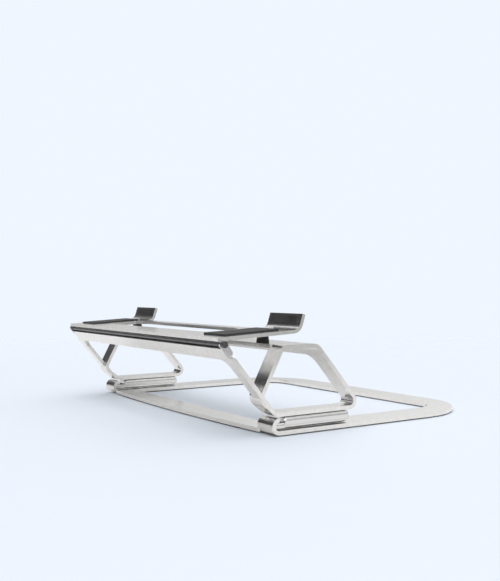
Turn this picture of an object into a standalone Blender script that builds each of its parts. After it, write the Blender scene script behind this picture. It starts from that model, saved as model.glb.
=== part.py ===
"""Folding aluminium laptop stand: ring base, hinged riser and tilting tray, one object per piece."""

import math

import bmesh
import bpy
from mathutils import Vector
from mathutils.geometry import tessellate_polygon

MM = 0.001
GAP = 0.3
SEAM = 0.06
SHEET = 3.0
ARC_STEP = math.radians(12.0)

# Depth of the front edge of the base in front of the middle of the whole stand, which is the origin
ORIGIN_Y = 89.13

# Base ring, lying flat on its rubber
BASE_WIDTH = 300.0
BASE_DEPTH = 215.0
BASE_UNDER = 1.0
BASE_TOP = BASE_UNDER + SHEET
SIDE_STRAP = 26.0
BACK_STRIP = 25.0
FRONT_STRIP = 22.0
BACK_RADIUS = 60.0
BACK_INNER_RADIUS = 22.0
FRONT_INNER_RADIUS = 10.0
FRONT_OUTER_RADIUS = 1.5
FRONT_BOW = 4.5
BOW_STEPS = 24
TAB_SLIT = 1.2

# Rubber under the base
FRONT_FOOT_HALF = 104.0
FRONT_FOOT_Y = (3.4, 17.0)
SIDE_FOOT_HALF = 8.0
SIDE_FOOT_Y = (60.0, 120.0)
REAR_FOOT_HALF = 70.0
REAR_FOOT_Y = (BASE_DEPTH - 20.5, BASE_DEPTH - 4.5)
FOOT_RADIUS = 6.0
STUCK = 0.02

# Rolled knuckles at the base's front corners, and the axis they give the riser
CURL_OUTER = 6.0
CURL_INNER = CURL_OUTER - SHEET
CURL_WIDTH = 19.0
FOLD_Y = 8.6
FOLD_Z = BASE_UNDER + CURL_OUTER
CURL_LIP_PAST_TOP = math.radians(4.0)

# Riser side loops: a bent strap, seen from the side
RISER_WIDTH = 293.7
RISER_HALF = RISER_WIDTH / 2
STRAP_WIDTH = 14.8
FOOT_Z = 13.4
RISER_TOP = 63.8
LOOP_CORNERS = [(13.3, RISER_TOP), (-7.0, 25.5), (8.6, FOOT_Z), (88.6, FOOT_Z), (45.5, RISER_TOP)]
LOOP_RADII = [7.0, 8.0, 9.0, 6.4, 9.0]

# Front plate: crossbar, two legs and their feet in one bent sheet
LEG_WIDTH = 10.2
LEAN = math.radians(50.5)
LEG_FOOT_Y = 6.8
LEG_FOOT_RADIUS = 9.0
FOOT_END_Y = 15.5
CROSSBAR_TOP = 64.9
CROSSBAR_UNDER = 54.6
CROSSBAR_FILLET = 7.0
CORNER_NOTCH = 3.6
CORNER_NOTCH_Z = 56.6

# Rear bridge between the loops
BRIDGE_REACH = 12.5
BRIDGE_FILLET = 7.0
TOP_PLATE_FRONT = 13.0

# Hinge arms under the loops
ARM_WIDTH = 13.6
ARM_OUTER_X = 146.6
ARM_BARREL = 2.6
ARM_NECK_HALF = 2.1
ARM_SHOULDER_Y = FOLD_Y + CURL_OUTER + 0.9
ARM_REAR_Y = 74.5
ARM_EDGE = 3.1
ARM_NOSE = 2.2
ARM_SHOULDER = 1.2
ARM_STEPS = 6
ARM_SCREW_Y = (30.0, 62.0)
ARM_SCREW_SHANK = 1.5
ARM_SCREW_HEAD = 2.9
ARM_SCREW_HEAD_DEPTH = 1.6

# Tray hinge: a continuous knuckle hinge along the crossbar
TILT_Y = -33.5
TILT_Z = 66.2
KNUCKLE_OUTER = 1.7
KNUCKLE_INNER = 1.1
PIN_RADIUS = 0.8
LEAF = 0.8
LEAF_REACH = 11.0
HINGE_HALF = RISER_HALF - CORNER_NOTCH
OUTER_KNUCKLE = 20.0
MIDDLE_KNUCKLE = 80.0
CAP_RADIUS = 2.4
CAP_LENGTH = 1.8
END_PLATE = 1.8
END_PLATE_HALF = 2.9
END_PLATE_REACH = 8.6

# Tray
TRAY_HALF = 143.0
TRAY_SHEET = 2.6
TRAY_SLOPE = math.radians(3.0)
TRAY_FRONT_Y = -36.6
TRAY_UNDER_AT_AXIS = 2.1
TRAY_REAR_Y = 32.6
LIP_ANGLE = math.radians(72.0)
LIP_TOP_Z = 84.7
LIP_RADIUS = 8.5
LIP_WIDTH = 42.0
WINDOW_HALF = 92.0
WINDOW_FRONT_Y = -16.0
WINDOW_REAR_Y = 16.0
WINDOW_RADIUS = 12.0

PAD = 1.2
PAD_LOW_X = 106.0
PAD_HIGH_X = 136.0
PAD_FRONT_Y = -27.0
PAD_REAR_Y = 18.0
LIP_PAD_INSET = 1.2
LIP_PAD_HEIGHT = 5.0
BUMPER_X = 112.0
BUMPER_Y = 20.0
BUMPER_RADIUS = 5.0


def clear_scene():
    for obj in list(bpy.data.objects):
        bpy.data.objects.remove(obj, do_unlink=True)


def material(name, colour, metallic, roughness):
    made = bpy.data.materials.new(name)
    made.use_nodes = True
    shader = made.node_tree.nodes["Principled BSDF"]
    shader.inputs["Base Color"].default_value = (*colour, 1.0)
    shader.inputs["Metallic"].default_value = metallic
    shader.inputs["Roughness"].default_value = roughness
    return made


def unit(vector):
    length = math.hypot(*vector)
    return vector[0] / length, vector[1] / length


def arc_points(centre, radius, start, turn, steps):
    found = []
    for i in range(steps + 1):
        angle = start + turn * i / steps
        found.append((centre[0] + radius * math.cos(angle), centre[1] + radius * math.sin(angle)))
    return found


def corner_arc(before, corner, after, radius):
    """Points of the fillet that rounds this corner."""
    into = unit((corner[0] - before[0], corner[1] - before[1]))
    out = unit((after[0] - corner[0], after[1] - corner[1]))
    turn = math.atan2(into[0] * out[1] - into[1] * out[0], into[0] * out[0] + into[1] * out[1])
    if radius <= 0 or abs(turn) < 1e-6:
        return [corner]
    reach = radius * math.tan(abs(turn) / 2)
    side = 1 if turn > 0 else -1
    begin = (corner[0] - into[0] * reach, corner[1] - into[1] * reach)
    centre = (begin[0] - into[1] * radius * side, begin[1] + into[0] * radius * side)
    start = math.atan2(begin[1] - centre[1], begin[0] - centre[0])
    steps = max(1, math.ceil(abs(turn) / ARC_STEP))
    return arc_points(centre, radius, start, turn, steps)


def rounded(corners, radii, closed=True):
    found = []
    count = len(corners)
    for i, corner in enumerate(corners):
        if not closed and i in (0, count - 1):
            found.append(corner)
            continue
        found += corner_arc(corners[i - 1], corner, corners[(i + 1) % count], radii[i])
    return found


def offset_line(points, distance, closed=True):
    """The same corners moved sideways: to the left of travel for a positive distance."""
    count = len(points)
    found = []
    for i, point in enumerate(points):
        first = i - 1 if closed or i > 0 else i
        second = i if closed or i < count - 1 else i - 1
        one = unit(tuple(points[(first + 1) % count][k] - points[first][k] for k in (0, 1)))
        two = unit(tuple(points[(second + 1) % count][k] - points[second][k] for k in (0, 1)))
        cosine = one[0] * two[0] + one[1] * two[1]
        shift = distance / (1 + cosine)
        found.append((point[0] - (one[1] + two[1]) * shift, point[1] + (one[0] + two[0]) * shift))
    return found


def area(loop):
    total = 0.0
    for i, point in enumerate(loop):
        after = loop[(i + 1) % len(loop)]
        total += point[0] * after[1] - point[1] * after[0]
    return total / 2


def prism_mesh(loops, place, low, high):
    """A closed bmesh between two levels: the first loop is the outline and the others are holes."""
    loops = [loop if (area(loop) > 0) == (i == 0) else loop[::-1] for i, loop in enumerate(loops)]
    mesh = bmesh.new()
    flat = [point for loop in loops for point in loop]
    bottom = [mesh.verts.new(place(point, low)) for point in flat]
    top = [mesh.verts.new(place(point, high)) for point in flat]
    for corners in tessellate_polygon([[Vector((*point, 0.0)) for point in loop] for loop in loops]):
        mesh.faces.new([bottom[i] for i in corners])
        mesh.faces.new([top[i] for i in corners])
    start = 0
    for loop in loops:
        count = len(loop)
        for i in range(count):
            a = start + i
            b = start + (i + 1) % count
            mesh.faces.new([bottom[a], bottom[b], top[b], top[a]])
        start += count
    bmesh.ops.recalc_face_normals(mesh, faces=mesh.faces)
    return mesh


def side_place(point, level):
    return Vector((level, *point)) * MM


def plan_place(point, level):
    return Vector((*point, level)) * MM


def front_place(point, level):
    return Vector((point[0], level, point[1])) * MM


def add_object(name, mesh, surface=None, smooth=math.radians(28.0)):
    bmesh.ops.translate(mesh, verts=mesh.verts, vec=(0.0, -ORIGIN_Y * MM, 0.0))
    data = bpy.data.meshes.new(name)
    mesh.to_mesh(data)
    mesh.free()
    made = bpy.data.objects.new(name, data)
    bpy.context.scene.collection.objects.link(made)
    if surface:
        data.materials.append(surface)
        data.shade_smooth()
        data.set_sharp_from_angle(angle=smooth)
    return made


def side_prism(name, loops, low, high, surface=None):
    return add_object(name, prism_mesh(loops, side_place, low, high), surface)


def plan_prism(name, loops, low, high, surface=None):
    return add_object(name, prism_mesh(loops, plan_place, low, high), surface)


def joined(name, meshes, surface):
    """One object of several separate closed solids."""
    whole = bmesh.new()
    for mesh in meshes:
        data = bpy.data.meshes.new("joined_part")
        mesh.to_mesh(data)
        mesh.free()
        whole.from_mesh(data)
        bpy.data.meshes.remove(data)
    return add_object(name, whole, surface)


def cut(target, cutter, operation="DIFFERENCE"):
    cutter.hide_render = True
    cutter.display_type = "WIRE"
    change = target.modifiers.new(cutter.name, "BOOLEAN")
    change.operation = operation
    change.solver = "EXACT"
    change.object = cutter


def soften(target, width, segments, angle=math.radians(40.0)):
    change = target.modifiers.new("edge", "BEVEL")
    change.width = width * MM
    change.segments = segments
    change.limit_method = "ANGLE"
    change.angle_limit = angle


def circle(centre, radius, steps=20):
    return arc_points(centre, radius, 0.0, math.tau * (steps - 1) / steps, steps - 1)


def both_sides(low, high):
    return (("right", low, high), ("left", -high, -low))


def mirrored(points):
    return [(-x, y) for x, y in points]


def rectangle(low_x, high_x, low_y, high_y, radius=0.0):
    corners = [(low_x, low_y), (high_x, low_y), (high_x, high_y), (low_x, high_y)]
    return rounded(corners, [radius] * 4)


def base_outline():
    half = BASE_WIDTH / 2
    tab = half - CURL_WIDTH
    inner = tab - TAB_SLIT
    bow = []
    for i in range(1, BOW_STEPS):
        share = 2 * i / BOW_STEPS - 1
        bow.append((inner * share, FRONT_BOW * share**2))
    back = FOLD_Y + TAB_SLIT
    right = [(inner, FRONT_BOW), (inner, back), (tab, back), (tab, FOLD_Y)]
    right += [(half, FOLD_Y), (half, BASE_DEPTH)]
    radii = [FRONT_OUTER_RADIUS, 0.0, 0.0, 0.0, 0.0, BACK_RADIUS]
    corners = bow + right + mirrored(right)[::-1]
    return rounded(corners, [0.0] * len(bow) + radii + radii[::-1])


def base_window():
    side = BASE_WIDTH / 2 - SIDE_STRAP
    rear = BASE_DEPTH - BACK_STRIP
    corners = [(-side, FRONT_STRIP), (side, FRONT_STRIP), (side, rear), (-side, rear)]
    radii = [FRONT_INNER_RADIUS, FRONT_INNER_RADIUS, BACK_INNER_RADIUS, BACK_INNER_RADIUS]
    return rounded(corners, radii)


def roll_curl(mesh, low, high):
    """Rolls the tab's front edge up and back over the fold axis, in place of the flat end face there."""
    end = {}
    for vert in mesh.verts:
        x, y, z = (value / MM for value in vert.co)
        if abs(y - FOLD_Y) < 0.01 and low - 0.01 < x < high + 0.01:
            end[(round(x - low) > 0, z > BASE_UNDER + SHEET / 2)] = vert
    flat_end = [face for face in end[(False, False)].link_faces if all(v in face.verts for v in end.values())]
    bmesh.ops.delete(mesh, geom=flat_end, context="FACES_ONLY")
    turn = math.pi + CURL_LIP_PAST_TOP
    steps = math.ceil(turn / ARC_STEP)
    outer = arc_points((FOLD_Y, FOLD_Z), CURL_OUTER, -math.pi / 2, -turn, steps)
    inner = arc_points((FOLD_Y, FOLD_Z), CURL_INNER, -math.pi / 2, -turn, steps)
    ring = [end[(False, False)], end[(True, False)], end[(True, True)], end[(False, True)]]
    for i in range(1, steps + 1):
        ends = [(low, outer[i]), (high, outer[i]), (high, inner[i]), (low, inner[i])]
        after = [mesh.verts.new(Vector((x, *point)) * MM) for x, point in ends]
        for k in range(4):
            mesh.faces.new([ring[k], ring[(k + 1) % 4], after[(k + 1) % 4], after[k]])
        ring = after
    mesh.faces.new(ring)


def build_base(aluminium, rubber):
    mesh = prism_mesh([base_outline(), base_window()], plan_place, BASE_UNDER, BASE_TOP)
    half = BASE_WIDTH / 2
    for _, low, high in both_sides(half - CURL_WIDTH, half):
        roll_curl(mesh, low, high)
    bmesh.ops.recalc_face_normals(mesh, faces=mesh.faces)
    add_object("base_ring", mesh, aluminium)
    foot_top = BASE_UNDER - STUCK
    strip = rectangle(-FRONT_FOOT_HALF, FRONT_FOOT_HALF, *FRONT_FOOT_Y, FOOT_RADIUS / 2)
    plan_prism("base_front_foot", [strip], 0.0, foot_top, rubber)
    centre = half - SIDE_STRAP / 2
    for side, low, high in both_sides(centre - SIDE_FOOT_HALF, centre + SIDE_FOOT_HALF):
        outline = rectangle(low, high, *SIDE_FOOT_Y, FOOT_RADIUS)
        plan_prism(f"base_side_foot_{side}", [outline], 0.0, foot_top, rubber)
    rear = rectangle(-REAR_FOOT_HALF, REAR_FOOT_HALF, *REAR_FOOT_Y, FOOT_RADIUS)
    plan_prism("base_rear_foot", [rear], 0.0, foot_top, rubber)


def loop_outline(grow=0.0):
    outer = offset_line(LOOP_CORNERS, -grow)
    return rounded(outer, [radius + grow for radius in LOOP_RADII])


def loop_inside():
    inner = offset_line(LOOP_CORNERS, SHEET)
    return rounded(inner, [radius - SHEET for radius in LOOP_RADII])


def build_loops(aluminium):
    for side, low, high in both_sides(RISER_HALF - STRAP_WIDTH, RISER_HALF):
        side_prism(f"riser_loop_{side}", [loop_outline(), loop_inside()], low, high, aluminium)


def leg_line():
    """Outer corners of the front plate seen from the side: top, foot bend and foot end."""
    rise = CROSSBAR_TOP - SHEET * math.cos(LEAN) - FOOT_Z
    return [(LEG_FOOT_Y - rise / math.tan(LEAN), FOOT_Z + rise), (LEG_FOOT_Y, FOOT_Z), (FOOT_END_Y, FOOT_Z)]


def leg_profile(grow=0.0):
    """The bent sheet's section; grow adds clearance on every side."""
    line = leg_line()
    if grow:
        up = unit((line[0][0] - line[1][0], line[0][1] - line[1][1]))
        line[0] = (line[0][0] + up[0] * grow, line[0][1] + up[1] * grow)
        line[2] = (line[2][0] + grow, line[2][1])
    outer = offset_line(line, -grow, closed=False)
    inner = offset_line(line, SHEET + grow, closed=False)
    path = rounded(outer, [0.0, LEG_FOOT_RADIUS + grow, 0.0], closed=False)
    return path + rounded(inner, [0.0, LEG_FOOT_RADIUS - SHEET - grow, 0.0], closed=False)[::-1]


def build_front_plate(aluminium):
    leg = RISER_HALF - LEG_WIDTH
    plate = side_prism("riser_front_plate", [leg_profile()], -RISER_HALF, RISER_HALF, aluminium)
    window = rounded(
        [(-leg, 0.0), (leg, 0.0), (leg, CROSSBAR_UNDER), (-leg, CROSSBAR_UNDER)],
        [0.0, 0.0, CROSSBAR_FILLET, CROSSBAR_FILLET],
    )
    cut(plate, add_object("cut_front_window", prism_mesh([window], front_place, -60.0, 40.0)))
    for side, low, high in both_sides(RISER_HALF - CORNER_NOTCH, RISER_HALF + 2.0):
        corner = rectangle(low, high, CORNER_NOTCH_Z, 90.0)
        cut(plate, add_object(f"cut_corner_{side}", prism_mesh([corner], front_place, -60.0, 0.0)))
    for side, low, high in both_sides(leg - SEAM, RISER_HALF + 2.0):
        cutter = side_prism(f"cut_leg_{side}", [leg_profile(SEAM)], low, high)
        cut(bpy.data.objects[f"riser_loop_{side}"], cutter)


def bridge_profile():
    inset = [LOOP_CORNERS[0], LOOP_CORNERS[4], LOOP_CORNERS[3]]
    slope = unit((inset[2][0] - inset[1][0], inset[2][1] - inset[1][1]))
    reach = BRIDGE_REACH + BRIDGE_FILLET
    end = (inset[1][0] + slope[0] * reach, inset[1][1] + slope[1] * reach)
    outer = [(TOP_PLATE_FRONT, RISER_TOP), inset[1], end]
    inner = offset_line(outer, -SHEET, closed=False)
    radius = LOOP_RADII[4]
    path = rounded(outer, [0.0, radius, 0.0], closed=False)
    path += rounded(inner, [0.0, radius - SHEET, 0.0], closed=False)[::-1]
    return path


def build_bridge(aluminium):
    half = RISER_HALF - STRAP_WIDTH - SEAM
    bridge = side_prism("riser_rear_bridge", [bridge_profile()], -half, half, aluminium)
    bend = LOOP_CORNERS[4]
    foot = LOOP_CORNERS[3]
    fall = math.atan2(bend[1] - foot[1], foot[0] - bend[0])
    low_edge = bend[1] - BRIDGE_REACH * math.sin(fall)
    window = rounded(
        [(-half - 1.0, low_edge - 40.0), (half + 1.0, low_edge - 40.0), (half, low_edge), (-half, low_edge)],
        [0.0, 0.0, BRIDGE_FILLET, BRIDGE_FILLET],
    )
    cutter = add_object("cut_bridge", prism_mesh([window], front_place, 30.0, 90.0))
    cut(bridge, cutter)


def arm_sections():
    """Sections of the arm from front to rear: y, bottom, top, and how far its sides draw in.

    The round front end turns inside the curl, the low neck clears the curl's lip,
    and the full bar lies under the strap.
    """
    under = FOLD_Z - ARM_BARREL
    top = FOOT_Z - GAP
    found = []
    for i in range(1, ARM_STEPS + 1):
        angle = math.pi / 2 * i / ARM_STEPS
        half = ARM_BARREL * math.sin(angle)
        found.append((FOLD_Y - ARM_BARREL * math.cos(angle), FOLD_Z - half, FOLD_Z + half, 0.0))
    neck_y = FOLD_Y + math.sqrt(ARM_BARREL**2 - ARM_NECK_HALF**2)
    found.append((neck_y, under, FOLD_Z + ARM_NECK_HALF, 0.0))
    found.append((ARM_SHOULDER_Y, under, FOLD_Z + ARM_NECK_HALF, 0.0))
    found.append((ARM_SHOULDER_Y + ARM_SHOULDER * 0.25, under, top - ARM_SHOULDER, 0.0))
    found.append((ARM_SHOULDER_Y + ARM_SHOULDER * 1.25, under, top, 0.0))
    for i in range(ARM_STEPS):
        angle = math.pi / 2 * i / ARM_STEPS
        inset = ARM_NOSE * (1 - math.cos(angle))
        found.append((ARM_REAR_Y - ARM_NOSE * (1 - math.sin(angle)), under + inset, top - inset, inset))
    return found


def arm_mesh(low, high):
    mesh = bmesh.new()
    rings = []
    for y, bottom, top, inset in arm_sections():
        radius = min(ARM_EDGE, 0.42 * (top - bottom))
        section = rectangle(low + inset, high - inset, bottom, top, radius)
        rings.append([mesh.verts.new(front_place(point, y)) for point in section])
    for one, two in zip(rings, rings[1:]):
        for i in range(len(one)):
            after = (i + 1) % len(one)
            mesh.faces.new([one[i], one[after], two[after], two[i]])
    mesh.faces.new(rings[0])
    mesh.faces.new(rings[-1])
    bmesh.ops.recalc_face_normals(mesh, faces=mesh.faces)
    return mesh


def arm_screw(x, y, grow=0.0):
    """A countersunk screw, driven from below through the arm into the strap."""
    under = FOLD_Z - ARM_BARREL
    shank = ARM_SCREW_SHANK + grow
    head = ARM_SCREW_HEAD + grow
    low = under + 0.2 - 5.0 * grow
    cone = under + ARM_SCREW_HEAD_DEPTH + grow
    high = FOOT_Z + SHEET * 0.6 + grow
    profile = [(head, low), (head, under + 0.4), (shank, cone), (shank, high)]
    return turned(profile, x, y)


def turned(profile, x, y, steps=16):
    """A closed solid of revolution about the vertical line through x, y."""
    mesh = bmesh.new()
    rings = []
    for radius, z in profile:
        ring = [(x + radius * math.cos(math.tau * i / steps), y + radius * math.sin(math.tau * i / steps), z)
                for i in range(steps)]
        rings.append([mesh.verts.new(Vector(point) * MM) for point in ring])
    for one, two in zip(rings, rings[1:]):
        for i in range(steps):
            mesh.faces.new([one[i], one[(i + 1) % steps], two[(i + 1) % steps], two[i]])
    mesh.faces.new(rings[0])
    mesh.faces.new(rings[-1])
    bmesh.ops.recalc_face_normals(mesh, faces=mesh.faces)
    return mesh


def build_arms(aluminium, steel):
    loops = {side: bpy.data.objects[f"riser_loop_{side}"] for side in ("right", "left")}
    for side, low, high in both_sides(ARM_OUTER_X - ARM_WIDTH, ARM_OUTER_X):
        arm = add_object(f"hinge_arm_{side}", arm_mesh(low, high), aluminium)
        middle = (low + high) / 2
        places = [(middle, y) for y in ARM_SCREW_Y]
        holes = joined(f"cut_arm_{side}", [arm_screw(x, y, GAP) for x, y in places], None)
        cut(arm, holes)
        cut(loops[side], holes)
        for label, (x, y) in zip(("front", "rear"), places):
            add_object(f"arm_screw_{side}_{label}", arm_screw(x, y), steel)


def leaf_profile(angle):
    """A knuckle with its leaf, which leaves the barrel's far side at this angle from straight back."""
    centre = (TILT_Y, TILT_Z)
    along = (math.cos(angle), math.sin(angle))
    across = (-along[1], along[0])
    turn = math.tau - math.acos(1 - LEAF / KNUCKLE_OUTER)
    steps = math.ceil(turn / ARC_STEP)
    ring = arc_points(centre, KNUCKLE_OUTER, angle + math.pi / 2, turn, steps)
    ends = []
    for away in (KNUCKLE_OUTER - LEAF, KNUCKLE_OUTER):
        ends.append(tuple(centre[k] + along[k] * LEAF_REACH + across[k] * away for k in (0, 1)))
    return ring + ends


def end_plate_profile():
    """A small plate round the pin's end, running down the side of the leg."""
    along = (math.cos(-LEAN), math.sin(-LEAN))
    across = (-along[1], along[0])
    head = arc_points((TILT_Y, TILT_Z), END_PLATE_HALF, math.pi / 2 - LEAN, math.pi, 12)
    centre = (TILT_Y + along[0] * END_PLATE_REACH, TILT_Z + along[1] * END_PLATE_REACH)
    half = END_PLATE_HALF * 0.7
    tail = []
    for reach, side in ((0.0, -1), (1.0, -1), (1.0, 1), (0.0, 1)):
        tail.append(tuple(centre[k] + along[k] * reach + across[k] * side * half for k in (0, 1)))
    return head + rounded(tail, [0.0, 1.0, 1.0, 0.0], closed=False)


def hinge_segments():
    end = HINGE_HALF
    outer = end - OUTER_KNUCKLE
    middle = MIDDLE_KNUCKLE / 2
    riser = [(-end, -outer), (-middle, middle), (outer, end)]
    tray = [(-outer + GAP, -middle - GAP), (middle + GAP, outer - GAP)]
    return riser, tray


def build_tilt_hinge(dark, steel):
    riser, tray = hinge_segments()
    hole = circle((TILT_Y, TILT_Z), KNUCKLE_INNER, 12)
    lean_leaf = leaf_profile(-LEAN)
    tray_leaf = leaf_profile(TRAY_SLOPE)
    names = {"riser_hinge_leaf": (riser, lean_leaf), "tray_hinge_leaf": (tray, tray_leaf)}
    for name, (segments, profile) in names.items():
        meshes = [prism_mesh([profile, hole], side_place, low, high) for low, high in segments]
        if len(meshes) == 2:
            labels = ("left", "right")
        else:
            labels = ("left", "middle", "right")
        for label, mesh in zip(labels, meshes):
            add_object(f"{name}_{label}", mesh, dark)
    pin = circle((TILT_Y, TILT_Z), PIN_RADIUS, 12)
    plate_low = HINGE_HALF + GAP
    plate_high = plate_low + END_PLATE
    side_prism("tray_hinge_pin", [pin], -plate_high, plate_high, steel)
    for side, low, high in both_sides(plate_low, plate_high):
        side_prism(f"hinge_end_plate_{side}", [end_plate_profile(), hole], low, high, dark)
    cap = circle((TILT_Y, TILT_Z), CAP_RADIUS)
    for side, low, high in both_sides(plate_high + GAP, plate_high + GAP + CAP_LENGTH):
        made = side_prism(f"hinge_pin_cap_{side}", [cap], low, high, steel)
        soften(made, 0.5, 2)


def tray_line(y):
    """Height of the tray's underside at this y."""
    return TILT_Z + TRAY_UNDER_AT_AXIS + (y - TILT_Y) * math.tan(TRAY_SLOPE)


def tray_profile():
    lip_rise = LIP_TOP_Z - tray_line(TRAY_REAR_Y)
    tip = (TRAY_REAR_Y + lip_rise / math.tan(LIP_ANGLE), LIP_TOP_Z)
    lower = [(TRAY_FRONT_Y, tray_line(TRAY_FRONT_Y)), (TRAY_REAR_Y, tray_line(TRAY_REAR_Y)), tip]
    upper = offset_line(lower, TRAY_SHEET, closed=False)
    path = rounded(lower, [0.0, LIP_RADIUS, 0.0], closed=False)
    path += rounded(upper, [0.0, LIP_RADIUS - TRAY_SHEET, 0.0], closed=False)[::-1]
    return path


def build_tray(aluminium, rubber):
    tray = side_prism("tray_plate", [tray_profile()], -TRAY_HALF, TRAY_HALF, aluminium)
    gap_half = TRAY_HALF - LIP_WIDTH
    rear_edge = TRAY_REAR_Y - LIP_RADIUS
    lip_gap = [(-gap_half, rear_edge), (gap_half, rear_edge), (gap_half, 60.0), (-gap_half, 60.0)]
    cutter = plan_prism("cut_lip_gap", [rounded(lip_gap, [6.0, 6.0, 0.0, 0.0])], 60.0, 95.0)
    cut(tray, cutter)
    opening = rectangle(-WINDOW_HALF, WINDOW_HALF, WINDOW_FRONT_Y, WINDOW_REAR_Y, WINDOW_RADIUS)
    cut(tray, plan_prism("cut_tray_window", [opening], 60.0, 80.0))
    for side, low, high in both_sides(PAD_LOW_X, PAD_HIGH_X):
        profile = []
        for y, lift in ((PAD_FRONT_Y, 0.0), (PAD_REAR_Y, 0.0), (PAD_REAR_Y, PAD), (PAD_FRONT_Y, PAD)):
            profile.append((y, tray_line(y) + (TRAY_SHEET + 0.02) / math.cos(TRAY_SLOPE) + lift))
        side_prism(f"tray_pad_{side}", [profile], low, high, rubber)
        side_prism(f"lip_pad_{side}", [lip_pad_profile()], low, high, rubber)


def lip_pad_profile():
    """A thin pad on the lip's front face."""
    top = LIP_TOP_Z - LIP_PAD_INSET
    low = LIP_TOP_Z - LIP_PAD_INSET - LIP_PAD_HEIGHT
    across = (TRAY_SHEET + 0.02) / math.sin(LIP_ANGLE)
    face = []
    for z in (low, top):
        face.append((TRAY_REAR_Y + (z - tray_line(TRAY_REAR_Y)) / math.tan(LIP_ANGLE) - across, z))
    front = [(y - PAD, z + PAD / math.tan(LIP_ANGLE)) for y, z in face]
    return face + front[::-1]


def build_bumpers(rubber):
    """Soft stops on the riser's top that the lowered tray rests on."""
    for side, middle in (("right", BUMPER_X), ("left", -BUMPER_X)):
        high = tray_line(BUMPER_Y) - BUMPER_RADIUS * math.tan(TRAY_SLOPE) - 0.02
        mesh = turned([(BUMPER_RADIUS, RISER_TOP + 0.02), (BUMPER_RADIUS - 1.0, high)], middle, BUMPER_Y)
        add_object(f"rest_bumper_{side}", mesh, rubber)


TURNS_WITH_TRAY = (
    "tray_plate",
    "tray_pad_",
    "lip_pad_",
    "tray_hinge_leaf_",
    "cut_lip_gap",
    "cut_tray_window",
)


def joint_axis(name, y, z, prefixes, parent=None):
    """An empty on a joint's axis that carries the pieces which turn there."""
    axis = bpy.data.objects.new(name, None)
    bpy.context.scene.collection.objects.link(axis)
    axis.location = Vector((0.0, y - ORIGIN_Y, z)) * MM
    bpy.context.view_layer.update()
    turning = [obj for obj in bpy.data.objects if obj.name.startswith(prefixes)]
    for obj in turning:
        obj.parent = axis
        obj.matrix_parent_inverse = axis.matrix_world.inverted()
    if parent:
        axis.parent = parent
        axis.matrix_parent_inverse = parent.matrix_world.inverted()
    return axis


def build():
    clear_scene()
    aluminium = material("aluminium", (0.79, 0.78, 0.76), 1.0, 0.28)
    dark = material("dark_steel", (0.05, 0.05, 0.055), 1.0, 0.38)
    steel = material("steel", (0.72, 0.72, 0.74), 1.0, 0.22)
    rubber = material("rubber", (0.03, 0.03, 0.032), 0.0, 0.75)
    build_base(aluminium, rubber)
    build_loops(aluminium)
    build_front_plate(aluminium)
    build_bridge(aluminium)
    build_arms(aluminium, steel)
    build_tilt_hinge(dark, steel)
    build_tray(aluminium, rubber)
    build_bumpers(rubber)
    turns_with_riser = ("riser_", "hinge_", "arm_screw_", "rest_bumper_", "tray_hinge_pin", "cut_")
    fold = joint_axis("axis_riser_fold", FOLD_Y, FOLD_Z, turns_with_riser)
    joint_axis("axis_tray_tilt", TILT_Y, TILT_Z, TURNS_WITH_TRAY, fold)


build()
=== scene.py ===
"""Looks for the folding laptop stand: materials, studio light and the camera."""

import math

import bpy
from mathutils import Matrix, Vector


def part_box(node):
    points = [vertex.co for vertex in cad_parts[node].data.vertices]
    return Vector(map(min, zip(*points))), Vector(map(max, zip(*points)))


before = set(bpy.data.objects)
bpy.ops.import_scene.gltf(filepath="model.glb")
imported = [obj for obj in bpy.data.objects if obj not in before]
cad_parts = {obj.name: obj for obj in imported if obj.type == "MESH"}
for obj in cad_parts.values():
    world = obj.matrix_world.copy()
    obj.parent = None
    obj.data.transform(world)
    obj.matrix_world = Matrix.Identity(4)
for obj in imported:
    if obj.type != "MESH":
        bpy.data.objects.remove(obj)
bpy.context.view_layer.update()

MM = 0.001

# Camera, from the stand's own edges: angles in degrees, place in millimetres from the origin
IMAGE_HEIGHT = 581
FOCAL_PX = 803.216
HEADING = 57.574
PITCH = -0.160
ROLL = -0.325
CAMERA_PLACE = (613.13, -398.50, 104.18)
SENSOR = 36.0
NEAR_CLIP = 0.01

# Aluminium. Noise scales here and below are in features per metre, and bump depths in metres
ALLOY_LOW = (0.775, 0.767, 0.758)
ALLOY_HIGH = (0.795, 0.787, 0.778)
ALLOY_WORN = (0.88, 0.88, 0.87)
ALLOY_SMOOTH = 0.18
ALLOY_ROUGH = 0.205
BAR_LOW = (0.74, 0.74, 0.74)
BAR_HIGH = (0.78, 0.78, 0.78)
BAR_SMOOTH = 0.10
BAR_ROUGH = 0.14
LAY_SCALE = 900.0
LAY_ALONG = 0.02
LAY_STREAK = 0.025
LAY_DEPTH = 0.00003
GRAIN_SCALE = 5200.0
GRAIN_DEPTH = 0.00002
ALLOY_BUMP = 0.10
MARKS_SCALE = 24.0
MARKS_ROUGHNESS = 0.62

# Wear: the pointiness where it starts and where it is full
WEAR_FROM = 0.51
WEAR_TO = 0.56
WEAR_SCALE = 260.0

# Black-coated steel
COATING_LOW = (0.018, 0.018, 0.02)
COATING_HIGH = (0.045, 0.045, 0.05)
COATING_WORN = (0.16, 0.16, 0.17)
COATING_CLOUD_SCALE = 70.0
PEEL_SCALE = 1400.0
PEEL_BUMP = 0.18
PEEL_DEPTH = 0.00008

# Turned steel. RING_SCALE is the wave texture's own scale, for about 3 rings per millimetre
STEEL_LOW = (0.6, 0.6, 0.62)
STEEL_HIGH = (0.78, 0.78, 0.79)
STEEL_CLOUD_SCALE = 160.0
RING_SCALE = 950.0
RING_BUMP = 0.12
RING_DEPTH = 0.00005

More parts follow.
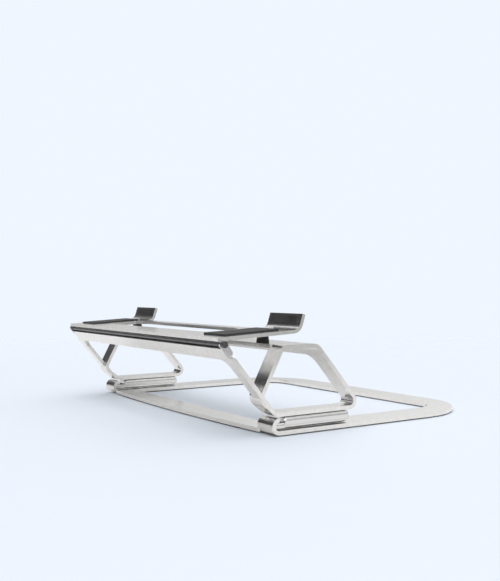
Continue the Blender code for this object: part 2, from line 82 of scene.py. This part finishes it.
# Rubber
RUBBER_LOW = (0.018, 0.018, 0.019)
RUBBER_HIGH = (0.05, 0.05, 0.053)
BLOOM_SCALE = 45.0
PEBBLE_SCALE = 1300.0
PEBBLE_BUMP = 0.5
PEBBLE_DEPTH = 0.00012

# Sheets whose brushed lay runs along X
WIDE_SHEETS = ("base_ring", "riser_front_plate", "riser_rear_bridge", "tray_plate")

# Floor, in metres: it fades to nothing between the two distances from the origin
FLOOR_HALF = 3.0
FADE_FROM = 0.35
FADE_TO = 1.1
FLOOR_LIT = (0.72, 0.715, 0.72)
FLOOR_SEEN = (0.665, 0.715, 0.79)
PALE = (0.863, 0.922, 1.0, 1.0)

# Brightness of the studio by height: straight down (0), the horizon (0.5), straight up (1)
FRONT_STUDIO = [(0.0, 0.8), (0.48, 0.6), (0.51, 0.09), (0.66, 0.05), (0.76, 0.05), (0.85, 0.85), (1.0, 0.9)]
BACK_STUDIO = [(0.0, 0.8), (0.48, 0.6), (0.60, 0.6), (0.67, 0.35), (0.76, 0.3), (0.85, 0.9), (1.0, 0.9)]
RIGHT_STUDIO = [(0.0, 0.5), (0.47, 0.42), (0.52, 0.38), (0.58, 0.42), (0.74, 0.75), (0.84, 0.95), (1.0, 0.9)]

# Where the front studio gives way to the back one, and both to the right one, by direction
BACK_FROM = -0.3
BACK_TO = 0.25
RIGHT_FROM = -0.4
RIGHT_TO = 0.4

# Lamps: turns and apparent widths in degrees
KEY = 1.55
KEY_TURN = (28.0, 18.0, 0.0)
KEY_WIDTH = 70.0
FILL = 0.6
FILL_TURN = (-30.0, -24.0, 0.0)
FILL_WIDTH = 90.0


def new_material(name):
    made = bpy.data.materials.new(name)
    made.use_nodes = True
    shader = made.node_tree.nodes["Principled BSDF"]
    return made, made.node_tree.nodes, made.node_tree.links, shader


def noise(nodes, links, scale, detail, stretch=None, roughness=0.55):
    """Noise in the object's own metres, so its grain has a real size. stretch scales the axes first."""
    place = nodes.new("ShaderNodeTexCoord")
    made = nodes.new("ShaderNodeTexNoise")
    made.inputs["Scale"].default_value = scale
    made.inputs["Detail"].default_value = detail
    made.inputs["Roughness"].default_value = roughness
    if stretch:
        mapping = nodes.new("ShaderNodeMapping")
        mapping.inputs["Scale"].default_value = stretch
        links.new(place.outputs["Object"], mapping.inputs["Vector"])
        links.new(mapping.outputs["Vector"], made.inputs["Vector"])
    else:
        links.new(place.outputs["Object"], made.inputs["Vector"])
    return made


def spread(nodes, links, source, low, high, from_low=0.3, from_high=0.7):
    """Maps from_low..from_high, where most of a noise lies, onto low..high."""
    made = nodes.new("ShaderNodeMapRange")
    made.inputs["From Min"].default_value = from_low
    made.inputs["From Max"].default_value = from_high
    made.inputs["To Min"].default_value = low
    made.inputs["To Max"].default_value = high
    links.new(source, made.inputs["Value"])
    return made.outputs["Result"]


def colour_mix(nodes):
    made = nodes.new("ShaderNodeMix")
    made.data_type = "RGBA"
    return made


def tint(nodes, links, factor, low, high):
    made = colour_mix(nodes)
    made.inputs["A"].default_value = (*low, 1.0)
    made.inputs["B"].default_value = (*high, 1.0)
    links.new(factor, made.inputs["Factor"])
    return made.outputs["Result"]


def toward(nodes, links, colour, other, factor):
    """A linked colour taken toward a fixed one by factor."""
    made = colour_mix(nodes)
    made.inputs["B"].default_value = (*other, 1.0)
    links.new(colour, made.inputs["A"])
    links.new(factor, made.inputs["Factor"])
    return made.outputs["Result"]


def blend(nodes, links, first, second, factor):
    """Two linked colours mixed by factor."""
    made = colour_mix(nodes)
    links.new(factor, made.inputs["Factor"])
    links.new(first, made.inputs["A"])
    links.new(second, made.inputs["B"])
    return made.outputs["Result"]


def math_of(nodes, links, operation, first, second):
    made = nodes.new("ShaderNodeMath")
    made.operation = operation
    links.new(first, made.inputs[0])
    links.new(second, made.inputs[1])
    return made.outputs["Value"]


def bump(nodes, links, shader, height, strength, distance, before=None):
    made = nodes.new("ShaderNodeBump")
    made.inputs["Strength"].default_value = strength
    made.inputs["Distance"].default_value = distance
    links.new(height, made.inputs["Height"])
    if before:
        links.new(before.outputs["Normal"], made.inputs["Normal"])
    links.new(made.outputs["Normal"], shader.inputs["Normal"])
    return made


def wear_mask(nodes, links):
    """Convexity broken up by noise. Flat faces have no points inside them, so it covers them as well."""
    geometry = nodes.new("ShaderNodeNewGeometry")
    sharp = spread(nodes, links, geometry.outputs["Pointiness"], 0.0, 1.0, WEAR_FROM, WEAR_TO)
    patches = noise(nodes, links, WEAR_SCALE, 3.0)
    broken = spread(nodes, links, patches.outputs["Fac"], 0.25, 1.0, 0.35, 0.6)
    return math_of(nodes, links, "MULTIPLY", sharp, broken)


def satin_aluminium(name, stretch, low=ALLOY_LOW, high=ALLOY_HIGH, smooth=ALLOY_SMOOTH, rough=ALLOY_ROUGH):
    """Clear-anodised aluminium: a brushed lay along the axes where stretch is small, grain and marks."""
    made, nodes, links, shader = new_material(name)
    shader.inputs["Metallic"].default_value = 1.0
    lay = noise(nodes, links, LAY_SCALE, 3.0, stretch)
    grain = noise(nodes, links, GRAIN_SCALE, 2.0)
    marks = noise(nodes, links, MARKS_SCALE, 5.0, roughness=MARKS_ROUGHNESS)
    wear = wear_mask(nodes, links)
    colour = tint(nodes, links, spread(nodes, links, marks.outputs["Fac"], 0.0, 1.0), low, high)
    links.new(toward(nodes, links, colour, ALLOY_WORN, wear), shader.inputs["Base Color"])
    base = spread(nodes, links, marks.outputs["Fac"], smooth, rough)
    streak = spread(nodes, links, lay.outputs["Fac"], -LAY_STREAK, LAY_STREAK)
    links.new(math_of(nodes, links, "ADD", base, streak), shader.inputs["Roughness"])
    first = bump(nodes, links, shader, lay.outputs["Fac"], ALLOY_BUMP, LAY_DEPTH)
    bump(nodes, links, shader, grain.outputs["Fac"], ALLOY_BUMP, GRAIN_DEPTH, first)
    return made


def black_steel(name):
    """Black-coated hinge steel: semi-gloss, with a slight orange peel and paler patches of wear."""
    made, nodes, links, shader = new_material(name)
    wear = wear_mask(nodes, links)
    cloud = noise(nodes, links, COATING_CLOUD_SCALE, 4.0)
    base = tint(nodes, links, cloud.outputs["Fac"], COATING_LOW, COATING_HIGH)
    faint = spread(nodes, links, wear, 0.0, 0.5, 0.0, 1.0)
    links.new(toward(nodes, links, base, COATING_WORN, faint), shader.inputs["Base Color"])
    links.new(spread(nodes, links, wear, 0.1, 0.6, 0.0, 1.0), shader.inputs["Metallic"])
    links.new(spread(nodes, links, cloud.outputs["Fac"], 0.26, 0.4), shader.inputs["Roughness"])
    shader.inputs["Coat Weight"].default_value = 0.3
    shader.inputs["Coat Roughness"].default_value = 0.2
    peel = noise(nodes, links, PEEL_SCALE, 2.0)
    bump(nodes, links, shader, peel.outputs["Fac"], PEEL_BUMP, PEEL_DEPTH)
    return made


def turned_steel(name, axis_place):
    """Bright steel with fine rings about the line through axis_place along X.

    The screws share it, so their rings aren't centred on them.
    """
    made, nodes, links, shader = new_material(name)
    shader.inputs["Metallic"].default_value = 1.0
    place = nodes.new("ShaderNodeTexCoord")
    shift = nodes.new("ShaderNodeMapping")
    shift.inputs["Location"].default_value = (0.0, -axis_place[1], -axis_place[2])
    shift.inputs["Scale"].default_value = (0.0, 1.0, 1.0)
    links.new(place.outputs["Object"], shift.inputs["Vector"])
    rings = nodes.new("ShaderNodeTexWave")
    rings.wave_type = "RINGS"
    rings.rings_direction = "SPHERICAL"
    rings.inputs["Scale"].default_value = RING_SCALE
    rings.inputs["Distortion"].default_value = 0.6
    rings.inputs["Detail"].default_value = 2.0
    links.new(shift.outputs["Vector"], rings.inputs["Vector"])
    cloud = noise(nodes, links, STEEL_CLOUD_SCALE, 3.0)
    links.new(tint(nodes, links, cloud.outputs["Fac"], STEEL_LOW, STEEL_HIGH), shader.inputs["Base Color"])
    links.new(spread(nodes, links, cloud.outputs["Fac"], 0.14, 0.26), shader.inputs["Roughness"])
    bump(nodes, links, shader, rings.outputs["Fac"], RING_BUMP, RING_DEPTH)
    return made


def moulded_rubber(name):
    """Charcoal rubber with a fine pebble grain and a dusty bloom."""
    made, nodes, links, shader = new_material(name)
    place = nodes.new("ShaderNodeTexCoord")
    pebble = nodes.new("ShaderNodeTexVoronoi")
    pebble.feature = "SMOOTH_F1"
    pebble.inputs["Scale"].default_value = PEBBLE_SCALE
    links.new(place.outputs["Object"], pebble.inputs["Vector"])
    bloom = noise(nodes, links, BLOOM_SCALE, 5.0)
    dusty = spread(nodes, links, bloom.outputs["Fac"], 0.0, 1.0)
    links.new(tint(nodes, links, dusty, RUBBER_LOW, RUBBER_HIGH), shader.inputs["Base Color"])
    links.new(spread(nodes, links, bloom.outputs["Fac"], 0.58, 0.82), shader.inputs["Roughness"])
    shader.inputs["Specular IOR Level"].default_value = 0.35
    bump(nodes, links, shader, pebble.outputs["Distance"], PEBBLE_BUMP, PEBBLE_DEPTH)
    return made


def finish_node(name, surface):
    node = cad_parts[name]
    node.data.materials.clear()
    node.data.materials.append(surface)


def dress():
    across = (LAY_ALONG, 1.0, 1.0)
    lengthways = (1.0, LAY_ALONG, LAY_ALONG)
    along_x = satin_aluminium("satin_aluminium_wide", across)
    along_y = satin_aluminium("satin_aluminium_deep", lengthways)
    bar = satin_aluminium("polished_aluminium_bar", lengthways, BAR_LOW, BAR_HIGH, BAR_SMOOTH, BAR_ROUGH)
    black = black_steel("black_hinge_steel")
    pin_low, pin_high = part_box("tray_hinge_pin")
    steel = turned_steel("turned_steel", (pin_low + pin_high) / 2)
    rubber = moulded_rubber("moulded_rubber")
    for name in sorted(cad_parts):
        if name in WIDE_SHEETS:
            finish_node(name, along_x)
        elif name.startswith("riser_loop"):
            finish_node(name, along_y)
        elif name.startswith("hinge_arm"):
            finish_node(name, bar)
        elif name.startswith(("hinge_pin_cap", "riser_hinge_leaf", "tray_hinge_leaf")):
            finish_node(name, black)
        elif name.startswith(("hinge_end_plate", "tray_hinge_pin", "arm_screw")):
            finish_node(name, steel)
        else:
            finish_node(name, rubber)


def pale_floor():
    """A plain floor that fades out far from the stand, so that the horizon is faint at most."""
    data = bpy.data.meshes.new("floor")
    corners = [(x * FLOOR_HALF, y * FLOOR_HALF, 0.0) for x, y in ((-1, -1), (1, -1), (1, 1), (-1, 1))]
    data.from_pydata(corners, [], [(0, 1, 2, 3)])
    floor = bpy.data.objects.new("floor", data)
    bpy.context.scene.collection.objects.link(floor)
    made, nodes, links, shader = new_material("pale_floor")
    path = nodes.new("ShaderNodeLightPath")
    shade = tint(nodes, links, path.outputs["Is Camera Ray"], FLOOR_LIT, FLOOR_SEEN)
    links.new(shade, shader.inputs["Base Color"])
    shader.inputs["Roughness"].default_value = 0.6
    shader.inputs["Specular IOR Level"].default_value = 0.2
    place = nodes.new("ShaderNodeTexCoord")
    far = nodes.new("ShaderNodeVectorMath")
    far.operation = "LENGTH"
    links.new(place.outputs["Object"], far.inputs[0])
    fade = spread(nodes, links, far.outputs["Value"], 0.0, 1.0, FADE_FROM, FADE_TO)
    clear = nodes.new("ShaderNodeBsdfTransparent")
    mixed = nodes.new("ShaderNodeMixShader")
    links.new(fade, mixed.inputs["Fac"])
    links.new(shader.outputs["BSDF"], mixed.inputs[1])
    links.new(clear.outputs["BSDF"], mixed.inputs[2])
    links.new(mixed.outputs["Shader"], nodes["Material Output"].inputs["Surface"])
    data.materials.append(made)


def soft_sun(name, turn, strength, width):
    data = bpy.data.lights.new(name, "SUN")
    data.energy = strength
    data.angle = math.radians(width)
    lamp = bpy.data.objects.new(name, data)
    bpy.context.scene.collection.objects.link(lamp)
    lamp.rotation_euler = [math.radians(value) for value in turn]


def ramp_of(nodes, links, height, stops):
    made = nodes.new("ShaderNodeValToRGB")
    ramp = made.color_ramp
    while len(ramp.elements) < len(stops):
        ramp.elements.new(0.5)
    for element, (at, level) in zip(ramp.elements, stops):
        element.position = at
        element.color = (level, level, level, 1.0)
    links.new(height, made.inputs["Fac"])
    return made.outputs["Color"]


def studio():
    """A pale backdrop where the camera sees past the stand, and a studio of ramps for all other rays."""
    world = bpy.data.worlds.new("studio")
    bpy.context.scene.world = world
    world.use_nodes = True
    nodes, links = world.node_tree.nodes, world.node_tree.links
    nodes.clear()
    place = nodes.new("ShaderNodeTexCoord")
    split = nodes.new("ShaderNodeSeparateXYZ")
    links.new(place.outputs["Generated"], split.inputs["Vector"])
    height = spread(nodes, links, split.outputs["Z"], 0.0, 1.0, -1.0, 1.0)
    front = ramp_of(nodes, links, height, FRONT_STUDIO)
    back = ramp_of(nodes, links, height, BACK_STUDIO)
    right = ramp_of(nodes, links, height, RIGHT_STUDIO)
    backward = spread(nodes, links, split.outputs["Y"], 0.0, 1.0, BACK_FROM, BACK_TO)
    rightward = spread(nodes, links, split.outputs["X"], 0.0, 1.0, RIGHT_FROM, RIGHT_TO)
    behind = blend(nodes, links, front, back, backward)
    lit = nodes.new("ShaderNodeBackground")
    links.new(blend(nodes, links, behind, right, rightward), lit.inputs["Color"])
    seen = nodes.new("ShaderNodeBackground")
    seen.inputs["Color"].default_value = PALE
    path = nodes.new("ShaderNodeLightPath")
    mixed = nodes.new("ShaderNodeMixShader")
    links.new(path.outputs["Is Camera Ray"], mixed.inputs["Fac"])
    links.new(lit.outputs["Background"], mixed.inputs[1])
    links.new(seen.outputs["Background"], mixed.inputs[2])
    output = nodes.new("ShaderNodeOutputWorld")
    links.new(mixed.outputs["Shader"], output.inputs["Surface"])
    soft_sun("key", KEY_TURN, KEY, KEY_WIDTH)
    soft_sun("fill", FILL_TURN, FILL, FILL_WIDTH)


def make_camera():
    data = bpy.data.cameras.new("camera")
    data.sensor_fit = "VERTICAL"
    data.sensor_height = SENSOR
    data.sensor_width = SENSOR
    data.lens = FOCAL_PX / IMAGE_HEIGHT * SENSOR
    data.clip_start = NEAR_CLIP
    camera = bpy.data.objects.new("camera", data)
    bpy.context.scene.collection.objects.link(camera)
    heading, pitch, roll = (math.radians(value) for value in (HEADING, PITCH, ROLL))
    flat = math.cos(pitch)
    ahead = Vector((-math.sin(heading) * flat, math.cos(heading) * flat, math.sin(pitch)))
    level = Vector((math.cos(heading), math.sin(heading), 0.0))
    above = level.cross(ahead)
    right = math.cos(roll) * level + math.sin(roll) * above
    up = math.cos(roll) * above - math.sin(roll) * level
    turned = Matrix((right, up, -ahead)).transposed().to_4x4()
    camera.matrix_world = Matrix.Translation(Vector(CAMERA_PLACE) * MM) @ turned
    bpy.context.scene.camera = camera


dress()
pale_floor()
studio()
make_camera()
bpy.context.scene.view_settings.view_transform = "Standard"
